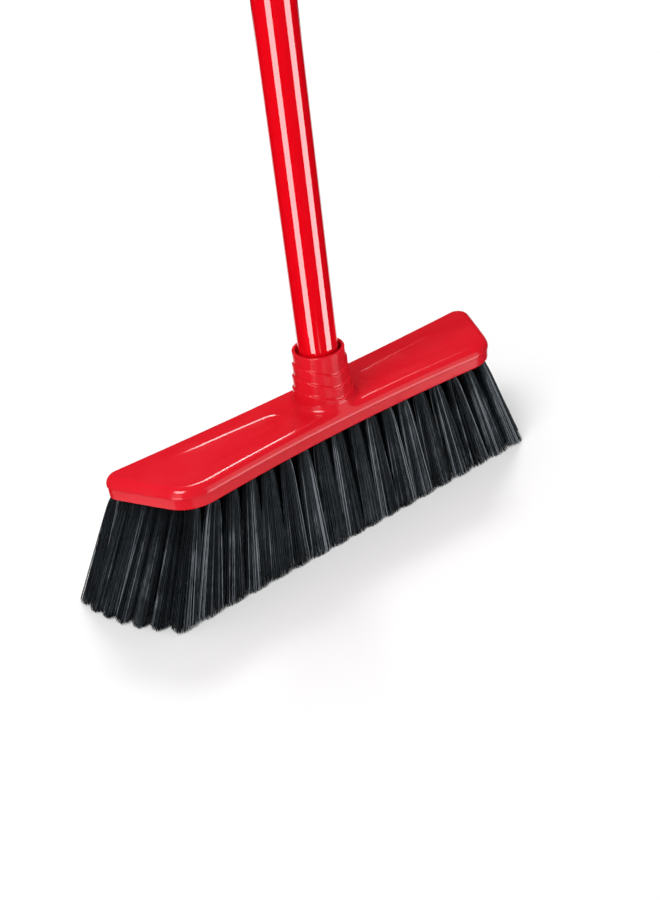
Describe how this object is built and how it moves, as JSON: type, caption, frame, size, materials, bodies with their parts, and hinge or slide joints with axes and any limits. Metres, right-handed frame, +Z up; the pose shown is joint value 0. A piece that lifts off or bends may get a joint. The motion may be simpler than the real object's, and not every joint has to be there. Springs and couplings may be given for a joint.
{
  "type": "push broom",
  "caption": "Push broom: tapered moulded block with a flared tufted brush, ribbed screw socket and long coated tube handle with a hanging cap.",
  "frame": {"origin": "where the handle's axis meets the plane of the bristle tips, which the broom stands on", "axes": "+Z up along the handle, X along the block, -Y towards the block's shorter front side"},
  "size_m": [0.305, 0.0686, 1.3352],
  "materials": {
    "red_moulding": "injection-moulded polypropylene, satin gloss",
    "red_coat": "high-gloss film over the steel tube",
    "steel": "bare rolled tube, hidden under the film",
    "dark_moulding": "moulded, matte",
    "bristle": "crimped synthetic filament, satin"
  },
  "bodies": {
    "head": {"head": "red_moulding", "front_tuft_01": "bristle", "front_tuft_02": "bristle", "front_tuft_03": "bristle", "front_tuft_04": "bristle", "front_tuft_05": "bristle", "front_tuft_06": "bristle", "front_tuft_07": "bristle", "front_tuft_08": "bristle", "front_tuft_09": "bristle", "front_tuft_10": "bristle", "front_tuft_11": "bristle", "front_tuft_12": "bristle", "front_tuft_13": "bristle", "front_tuft_14": "bristle", "front_tuft_15": "bristle", "front_tuft_16": "bristle", "front_tuft_17": "bristle", "front_tuft_18": "bristle", "back_tuft_01": "bristle", "back_tuft_02": "bristle", "back_tuft_03": "bristle", "back_tuft_04": "bristle", "back_tuft_05": "bristle", "back_tuft_06": "bristle", "back_tuft_07": "bristle", "back_tuft_08": "bristle", "back_tuft_09": "bristle", "back_tuft_10": "bristle", "back_tuft_11": "bristle", "back_tuft_12": "bristle", "back_tuft_13": "bristle", "back_tuft_14": "bristle", "back_tuft_15": "bristle", "back_tuft_16": "bristle", "back_tuft_17": "bristle", "back_tuft_18": "bristle", "back_tuft_19": "bristle", "back_tuft_20": "bristle", "back_tuft_21": "bristle", "back_tuft_22": "bristle", "back_tuft_23": "bristle", "back_tuft_24": "bristle", "left_end_tuft_01": "bristle", "left_end_tuft_02": "bristle", "left_end_tuft_03": "bristle", "left_end_tuft_04": "bristle", "left_end_tuft_05": "bristle", "right_end_tuft_01": "bristle", "right_end_tuft_02": "bristle", "right_end_tuft_03": "bristle", "right_end_tuft_04": "bristle", "right_end_tuft_05": "bristle", "inner_tufts": "bristle"},
    "insert": {"thread_insert": "dark_moulding"},
    "handle": {"handle_tube": "steel", "handle_coat": "red_coat", "hanger_cap": "red_moulding"}
  },
  "joints": [
    {"name": "handle_lift", "type": "slide", "parent": "head", "child": "insert", "axis": [0, 0, 1], "range_m": [0, 0.0225]},
    {"name": "handle_turn", "type": "hinge", "parent": "insert", "child": "handle", "pos_m": [0, 0, 0.1], "axis": [0, 0, 1], "range_deg": [0, 1625]}
  ],
  "couplings": [
    {"joint": "handle_turn", "follows": "handle_lift", "rad_per_m": 1256.6}
  ]
}
